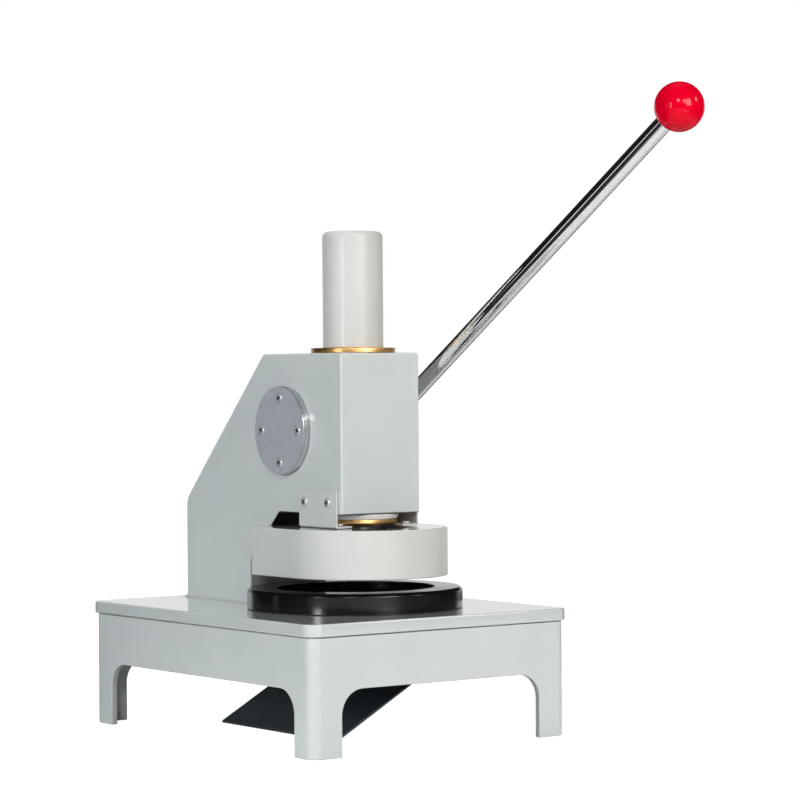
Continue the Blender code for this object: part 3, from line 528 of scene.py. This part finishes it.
# ---------------------------------------------------------------- die ring
RING_TOP = high("die_ring").z
DIE_R, RING_R = 56.4, 76.4
ring = turned("ring", [(DIE_R, RING_TOP, 0.7), (RING_R - 2, RING_TOP, 0.5), (RING_R, RING_TOP - 2, 0.8),
                       (RING_R, FOOT, 0.4), (57.6, FOOT), (57.6, RING_TOP - 7), (DIE_R, RING_TOP - 6)],
              steps=192, closed=True)
for k, node in enumerate(("front_right", "rear_right", "rear_left", "front_left")):
    t = radians(-45 + 90 * k)
    seat = (67.5 * cos(t), 67.5 * sin(t), UNDER)
    carve(ring, rod(3.1, -18, 1, seat, DOWN, 24))
    cap_screw("die_screw_" + node, "dark_steel", seat, 4.8, 5, 2.8, 17, DOWN)
dress(ring, "die_ring", "black_steel", "ram")
second_finish(ring, "tool_steel", lambda face: (face.center - RAM).xy.length < mm(DIE_R + 0.75)
              and face.center.z > mm(RING_TOP - 0.8))

# ---------------------------------------------------------------- bushes, spacer, dust cover
BUSH_BORE = 13.1
dress(turned("bush", [(BUSH_BORE, 278.3), (19.6, 278.3, 0.4), (19.6, 273.3), (30, 273.3, 0.6), (30, 270, 0.4),
                      (20, 270), (20, 249.3), (BUSH_BORE, 249.3)], steps=128, closed=True),
      "upper_bush", "brass", "ram")
dress(turned("bush", [(23.1, 182), (26.5, 182), (26.5, 152.6), (30, 152.6, 0.4), (30, 150.1, 0.3),
                      (28.8, 148.9, 0.3), (23.1, 148.9)], steps=128, closed=True),
      "lower_bush", "brass", "ram")
dress(turned("spacer", [(26.8, 156.4), (32, 156.4, 0.4), (30, 152.9, 0.4), (26.8, 152.9)], steps=128,
             closed=True), "bush_spacer", "white_nylon", "ram")
dress(turned("cover", [(0, 355.6), (21.45, 355.6, 4), (21.45, 273.6, 0.3), (19.95, 273.6), (19.95, 351.6),
                       (16.95, 353.8), (0, 353.8)], steps=128, seg=10), "dust_cover", "guard_enamel")

# ---------------------------------------------------------------- ram, rack, return spring
SHOULDER = 248.4
ram = turned("ram", [(0, 314), (4.3, 314), (4.3, 337), (13, 337, 0.5), (13, SHOULDER), (23, SHOULDER, 1),
                     (23, 143.5, 0.6), (6.3, 143.5), (6.3, 168), (0, 168)], steps=128)
pitch, slope = pi * MODULE, tan(PRESSURE)
wide = pitch / 2 + BACKLASH
tip_y, root_y = RACK_Y + MODULE, RACK_Y - 1.25 * MODULE
tip_half, root_half = wide / 2 + MODULE * slope, wide / 2 - 1.25 * MODULE * slope
comb = [(29, 199.8), (tip_y, 199.8)]
for k in range(-2, 5):
    z = PIVOT.z + k * pitch
    comb += [(tip_y, z - tip_half), (root_y, z - root_half), (root_y, z + root_half), (tip_y, z + tip_half)]
comb += [(tip_y, SHOULDER + 2), (29, SHOULDER + 2)]
carve(ram, slab("comb", [comb], -18, 18, ALONG_X))
dress(ram, "ram", "ground_steel", "ram")

SPRING_R, WIRE_R, TURNS, PER_TURN = 16.0, 1.3, 8, 28
spring_lo, spring_hi = low("return_spring").z + WIRE_R, high("return_spring").z - WIRE_R
wire = bpy.data.curves.new("spring", 'CURVE')
wire.dimensions, wire.bevel_depth, wire.bevel_resolution, wire.use_fill_caps = '3D', mm(WIRE_R), 4, True
coil = wire.splines.new('POLY')
coil.points.add(TURNS * PER_TURN)
dead = 2 * WIRE_R + 0.3   # rise of the first and last turns, which lie almost closed
climb = (spring_hi - spring_lo - 2 * dead) / (TURNS - 2)
for k, point in enumerate(coil.points):
    t = k / PER_TURN
    z = spring_lo + dead * min(t, 1) + climb * min(max(t - 1, 0), TURNS - 2) + dead * max(t - TURNS + 1, 0)
    point.co = (*mm(SPRING_R * cos(2 * pi * t), SPRING_R * sin(2 * pi * t), z), 1)
spring = dress(to_object("spring", curve_mesh(wire)), "return_spring", "spring_steel", sharp=60)
spring.modifiers.clear()
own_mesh(spring)

dress(turned("retainer", [(4.3, 341), (18.5, 341, 1), (18.5, 335, 0.3), (13.3, 335), (13.3, 337.3),
                          (4.3, 337.3)], closed=True), "spring_retainer", "dark_steel", "ram")
cap_screw("retainer_bolt", "zinc", (0, 0, 341.3), 6.5, 6, 4, 22)

# ---------------------------------------------------------------- punch
PUNCH_R, CENTRE_HOLE_R, PUNCH_SCREW_R = 56.3, 6.4, 2.7
carrier = turned("holder", [(CENTRE_HOLE_R, 143.2), (40, 143.2, 1.5), (40, 131, 0.4), (CENTRE_HOLE_R, 131)],
                 steps=128, closed=True)
disc = turned("disc", [(CENTRE_HOLE_R, 130.7), (PUNCH_R, 130.7, 1), (PUNCH_R, 114, 0.05), (PUNCH_R - 4, 115.5),
                       (10.4, 115.5), (10.4, 124), (CENTRE_HOLE_R, 124)], steps=192, closed=True)
for k, node in enumerate(("front", "right", "rear", "left")):
    t = radians(-90 + 90 * k)
    x, y = 32 * cos(t), 32 * sin(t)
    carve(carrier, rod(4.9, 139.5, 150, (x, y, 0), steps=32))
    carve(carrier, rod(PUNCH_SCREW_R, 100, 150, (x, y, 0), steps=24))
    carve(disc, rod(PUNCH_SCREW_R, 121.2, 150, (x, y, 0), steps=24))
    cap_screw("punch_screw_" + node, "zinc", (x, y, 139.8), 4.3, 3, 2.4, 18)
dress(carrier, "punch_holder", "dark_steel", "ram")
dress(disc, "punch_disc", "tool_steel", "ram")
cap_screw("holder_bolt", "dark_steel", (0, 0, 123.7), 9, 7.6, 6, 42, DOWN)

# ---------------------------------------------------------------- pinion and bearings
base_r = PITCH_R * cos(PRESSURE)


def involute(r):
    """Angle by which a tooth's flank has turned away at a radius."""
    a = acos(min(1, base_r / r))
    return tan(a) - a


half_tooth = (pitch / 2 - BACKLASH) / PITCH_R / 2 + involute(PITCH_R)
root_r, tip_r = PITCH_R - 1.25 * MODULE, PITCH_R + MODULE
flank = [(root_r, half_tooth)] + [(r, half_tooth - involute(r)) for r in
                                  (base_r + (tip_r - base_r) * k / 5 for k in range(6))]
gear = []
for k in range(TEETH):
    mid = pi + 2 * pi * k / TEETH
    gear += [(r * cos(mid - a), r * sin(mid - a)) for r, a in flank]
    gear += [(r * cos(mid + a), r * sin(mid + a)) for r, a in reversed(flank)]
shaft = turned("shaft", [(0, 65), (10, 65, 0.5), (10, 34), (12, 34, 0.3), (12, -33, 0.5), (0, -33)],
               PIVOT, AXIS_X)
carve(shaft, slab("gear", [gear], -12, 12, ALONG_X, PIVOT), operation='UNION')
key = Vector((0, cos(LEVER_ANGLE), -sin(LEVER_ANGLE))) * 10
key_at = (LEVER_X, PIVOT.y + key.y, PIVOT.z + key.z)
carve(shaft, rod(4.6, 44, 70, PIVOT, AXIS_X), box("slot", (20.6, 5.6, 5.6), key_at, LEVER))
dress(shaft, "pinion_shaft", "ground_steel", "pinion")

face = -HEAD_HALF - GAP
BORE_R, FLANGE_R, FLANGE_T, LID_T, COVER_SCREWS_R = 12.1, 31.4, 3.3, 1.4, 23
dress(turned("bearing", [(BORE_R, -15.5), (PITCH_R + 2.1, -15.5), (PITCH_R + 2.1, face),
                         (FLANGE_R, face, 0.2), (FLANGE_R, face - FLANGE_T, 0.1), (BORE_R, face - FLANGE_T)],
             PIVOT, AXIS_X, 128, True), "left_bearing", "turned_steel", "pinion")
cover_x = face - FLANGE_T - GAP
lid = turned("lid", [(0, cover_x), (FLANGE_R - 0.1, cover_x + 0.25, 0.05),
                     (FLANGE_R - 0.1, cover_x - LID_T, 0.35), (0, cover_x - LID_T)], PIVOT, AXIS_X, 144)
for k, node in enumerate(("top", "front", "bottom", "rear")):
    t = radians(90 * k)
    y, z = PIVOT.y - COVER_SCREWS_R * sin(t), PIVOT.z + COVER_SCREWS_R * cos(t)
    carve(lid, rod(3.8, cover_x - 5, cover_x - 0.3, (0, y, z), AXIS_X), rod(1.9, -45, -33, (0, y, z), AXIS_X))
    cross_screw("cover_screw_" + node, (cover_x - 0.5, y, z), 3.6, 1.45, 1.6, 11, LEFT, 0.5 + 0.7 * k)
dress(lid, "cover_disc", "turned_steel", "pinion")
second_finish(lid, "satin_steel", lambda face: face.normal.x < -0.9)
dress(turned("bearing", [(BORE_R, 36), (20, 36, 0.5), (20, HEAD_HALF + GAP), (15, HEAD_HALF + GAP), (15, 13.5),
                         (BORE_R, 13.5)], PIVOT, AXIS_X, 96, True), "right_bearing", "bronze", "pinion")

# ---------------------------------------------------------------- lever
HUB, HUB_R, HUB_HALF = (LEVER_X, PIVOT.y, PIVOT.z), 19, 14.6
hub = turned("hub", [(0, HUB_HALF), (HUB_R, HUB_HALF, 1.6), (HUB_R, -HUB_HALF, 1.2), (0, -HUB_HALF)],
             HUB, AXIS_X, 128)
carve(hub, turned("boss", [(0, 31), (10, 31, 1.2), (10, 6), (0, 6)], HUB, LEVER, 64), operation='UNION')
carve(hub, box("slot", (80, 5.6, 5.6), key_at, LEVER), rod(10.3, -30, 30, HUB, AXIS_X, 64),
      rod(6.3, 0, 40, HUB, LEVER, 64))
dress(hub, "lever_hub", "chrome", "pinion")
dress(soften(box("key", (20, 5, 5), key_at, LEVER), 0.3, 2), "hub_key", "tool_steel")
hub_out = LEVER_X + HUB_HALF
dress(turned("washer", [(4.3, hub_out + 2.3), (13, hub_out + 2.3, 0.3), (13, hub_out + GAP, 0.3),
                        (4.3, hub_out + GAP)], PIVOT, AXIS_X, 64, True), "hub_washer", "zinc", "pinion")
cap_screw("hub_screw", "zinc", (hub_out + 2.6, PIVOT.y, PIVOT.z), 6.5, 7, 4, 20, RIGHT)

BALL_R, ROD_R, STUD_R = 16.2, 6.0, 4.8
rod_end = LEVER_LEN - sqrt(BALL_R ** 2 - ROD_R ** 2) - GAP
dress(turned("rod", [(0, LEVER_LEN + 2), (STUD_R, LEVER_LEN + 2, 0.4), (STUD_R, rod_end),
                     (ROD_R, rod_end, 0.5), (ROD_R, 11.7, 0.5), (0, 11.7)], HUB, LEVER, 96),
      "lever_rod", "chrome", "rod")
mouth = STUD_R + GAP
start = acos(mouth / BALL_R)
ball = [(0, LEVER_LEN + 2.3), (mouth, LEVER_LEN + 2.3), (mouth, LEVER_LEN - BALL_R * sin(start))]
ball += [(BALL_R * cos(a), LEVER_LEN + BALL_R * sin(a)) for a in
         (-start + (start + pi / 2) * k / 48 for k in range(1, 48))] + [(0, LEVER_LEN + BALL_R)]
dress(turned("ball", ball, HUB, LEVER, 96), "ball_knob", "red_phenolic")

# ---------------------------------------------------------------- finger guard and brackets
GUARD_R, GUARD_Y, GUARD_LO, GUARD_HI, REAR = 59.0, -11.7, 113.0, 147.0, 43.5


def guard_outline(r, rear):
    """A half circle at the front and straight sides back to the rear edge."""
    nose = [(r * cos(t), GUARD_Y + r * sin(t)) for t in (pi + pi * k / 96 for k in range(97))]
    return [(-r, rear)] + nose + [(r, rear)]


guard = slab("guard", [guard_outline(GUARD_R, REAR)], GUARD_LO, GUARD_HI)
soften(guard, 0.9, 4, 40)
window = rounded([(-25, 12, 24), (-25, -52, 14), (25, -52, 14), (25, 12, 24)])
carve(guard, slab("cavity", [guard_outline(GUARD_R - 2, REAR + 20)], GUARD_LO - 5, GUARD_HI - 2),
      slab("window", [window], GUARD_HI - 8, GUARD_HI + 5), rod(25, 137, 157, steps=96),
      box("rear", (180, 30, 60), (0, REAR + 15.6, GUARD_LO), (atan(4 / 34), 0, 0)))
foot_z = GUARD_HI + GAP
SHEET_T, BRACKET_TOP, BRACKET_FOOT = 1.5, 173.8, 13.6
for side_x, side in SIDES:
    x0 = side_x * (HEAD_HALF + GAP)
    x1 = x0 + side_x * SHEET_T
    x2 = x1 - side_x * BRACKET_FOOT
    sheet = rounded([(x0, BRACKET_TOP), (x0, foot_z + SHEET_T, 0.6), (x2, foot_z + SHEET_T), (x2, foot_z),
                     (x1, foot_z, 2.0), (x1, BRACKET_TOP)], 5)
    bracket = slab("bracket", [sheet], -17.5, 28.2, ALONG_Y)
    soften(bracket, 0.3, 2, 50)
    carve(bracket, rod(24.5, 140, 160, steps=96))
    out = LEFT if side_x < 0 else RIGHT
    for y, end in zip((-18.8, 9.5), ("front", "rear")):
        seat = (x1 + side_x * GAP, y, 165.2)
        carve(bracket, rod(1.9, -8, 1, seat, out, 24))
        cross_screw("bracket_screw_" + side + "_" + end, seat, 3.6, 1.7, 1.6, 7, out, 0.35 + 0.5 * (y > 0))
    seat = (side_x * 29.0, -22.0, foot_z + SHEET_T + GAP)
    hole = [rod(1.8, -6, 1, seat, steps=24) for _ in range(2)]
    carve(bracket, hole[0])
    carve(guard, hole[1])
    cross_screw("guard_screw_" + side, seat, 3.0, 1.6, 1.5, 4.4)
    dress(bracket, "guard_bracket_" + side, "guard_enamel")
dress(guard, "punch_guard", "guard_enamel")
second_finish(guard, "table_enamel", lambda face: face.normal.z > 0.95)

# ---------------------------------------------------------------- studio
TO_CAMERA = (-0.592, -0.806, 0)
FROM_CAMERA = (0.592, 0.806, 0)
SWEEP_EDGE = (0.76, 0.80)     # cosines between which the white sweep behind the tool begins
WHITE = (1, 1, 1, 1)
scene.view_settings.view_transform = 'Standard'
scene.view_settings.look = 'None'

floor_mesh = bpy.data.meshes.new("floor")
floor_mesh.from_pydata([(-6, -6, 0), (6, -6, 0), (6, 6, 0), (-6, 6, 0)], [], [(0, 1, 2, 3)])
floor = bpy.data.objects.new("floor", floor_mesh)
scene.collection.objects.link(floor)
paper = bpy.data.materials.new("paper")
paper.use_nodes = True
tree = paper.node_tree
shader = tree.nodes["Principled BSDF"]
shader.inputs["Roughness"].default_value = 0.8
tone = ramp(tree, noise(tree, add(tree, "TexCoord").outputs["Object"], 6.0), 0, 1, 0.82, 0.86)
# white paper lies round the tool and runs on to its front, and the sweep behind it starts 1.5 m away;
# the rest of the floor fades into the dark room, out of the camera's sight
point = add(tree, "NewGeometry").outputs["Position"]
far = vector(tree, 'LENGTH', point, out="Value")
unit = vector(tree, 'NORMALIZE', point)
ahead = vector(tree, 'DOT_PRODUCT', unit, TO_CAMERA, "Value")
near = ramp(tree, vector(tree, 'DISTANCE', point, (0.30, -0.30, 0), "Value"), 0.50, 0.58, 0.8, 0.02)
under = ramp(tree, far, 0.22, 0.28, 1, 0)
fore = ramp(tree, ahead, 0.6, 0.85, 0, 0.8)
seen = add(tree, "LightPath").outputs["Is Camera Ray"]
lit = near
for also in (fore, under, seen):
    lit = maths(tree, 'MAXIMUM', lit, also)
tree.links.new(maths(tree, 'MULTIPLY', tone, lit), shader.inputs["Base Color"])
# one narrow white line on the floor behind, to the left, shows in the polished lever
aside = vector(tree, 'DOT_PRODUCT', unit, (-0.784, 0.620, 0), "Value")
bright = maths(tree, 'MAXIMUM', ramp(tree, ahead, *(-c for c in SWEEP_EDGE)), ramp(tree, aside, 0.9980, 0.9990))
swept = maths(tree, 'MULTIPLY', bright, ramp(tree, far, 1.4, 1.6))
open_floor = ramp(tree, far, 0.3, 0.75, 0.93, 1.0)
share = add(tree, "Mix", {"Factor": seen, "A": swept, "B": open_floor}).outputs["Result"]
glow = add(tree, "Emission", {"Color": WHITE, "Strength": 1.15})
blend = add(tree, "MixShader", {0: share, 1: shader.outputs[0], 2: glow.outputs[0]})
tree.links.new(blend.outputs[0], tree.nodes["Material Output"].inputs["Surface"])
floor_mesh.materials.append(paper)

# a white sweep behind the tool, which only reflections show, and a dark room at its sides; the camera
# sees white wherever it looks past them
world = bpy.data.worlds.new("studio")
scene.world = world
world.use_nodes = True
tree = world.node_tree
background = tree.nodes["Background"]
background.inputs["Color"].default_value = WHITE
look = add(tree, "TexCoord").outputs["Generated"]
flat = vector(tree, 'NORMALIZE', vector(tree, 'MULTIPLY', look, (1, 1, 0)))
sides = ramp(tree, vector(tree, 'DOT_PRODUCT', flat, FROM_CAMERA, "Value"), *SWEEP_EDGE)
upper = ramp(tree, add(tree, "SeparateXYZ", {0: look}).outputs["Z"], 0.13, 0.19, 1, 0)
path = add(tree, "LightPath").outputs
sweep = maths(tree, 'MULTIPLY', maths(tree, 'MULTIPLY', sides, upper), path["Is Glossy Ray"])
level = add(tree, "Mix", {"Factor": path["Is Camera Ray"], "A": ramp(tree, sweep, 0, 1, 0.012, 0.78), "B": 1.0})
tree.links.new(level.outputs["Result"], background.inputs["Strength"])

AIM = Vector((0.0, 0.03, 0.20))   # the lamps face this point


def softbox(name, toward, distance, width, height, power, colour=(1, 1, 1)):
    """A rectangular soft light that faces the tool from a direction."""
    light = bpy.data.lights.new(name, 'AREA')
    light.shape, light.size, light.size_y = 'RECTANGLE', width, height
    light.energy, light.color = power, colour
    lamp = bpy.data.objects.new(name, light)
    scene.collection.objects.link(lamp)
    direction = Vector(toward).normalized()
    lamp.location = AIM + direction * distance
    lamp.rotation_euler = (-direction).to_track_quat('-Z', 'Y').to_euler()
    return lamp


softbox("key_front", (0.02, -0.95, 0.32), 2.2, 0.8, 0.9, 36, (1.0, 0.985, 0.965))
softbox("key_camera", (-0.585, -0.665, 0.466), 2.4, 0.38, 0.38, 12)
softbox("side_left", (-0.98, 0.08, 0.16), 2.2, 0.6, 1.0, 30, (0.92, 0.962, 1.0)).visible_glossy = False
softbox("overhead", (0.15, 0.25, 1.0), 1.9, 1.2, 1.2, 24).visible_glossy = False
# these three only show as reflections
softbox("strip_left", (-0.967, -0.253, 0.18), 2.2, 0.20, 0.8, 9).visible_diffuse = False
softbox("panel_front", (-0.309, -0.951, 0.42), 2.2, 0.16, 0.3, 6).visible_diffuse = False
softbox("rim_right", (0.60, -0.67, 0.46), 2.0, 0.24, 0.32, 5).visible_diffuse = False

camera_data = bpy.data.cameras.new("camera")
camera_data.lens, camera_data.sensor_width = 128.367, 36
camera = bpy.data.objects.new("camera", camera_data)
scene.collection.objects.link(camera)
camera.location = (-1.17040, -1.58804, 0.24897)
camera.rotation_euler = (radians(89.6395), radians(0.41537), radians(-36.28298))
scene.camera = camera
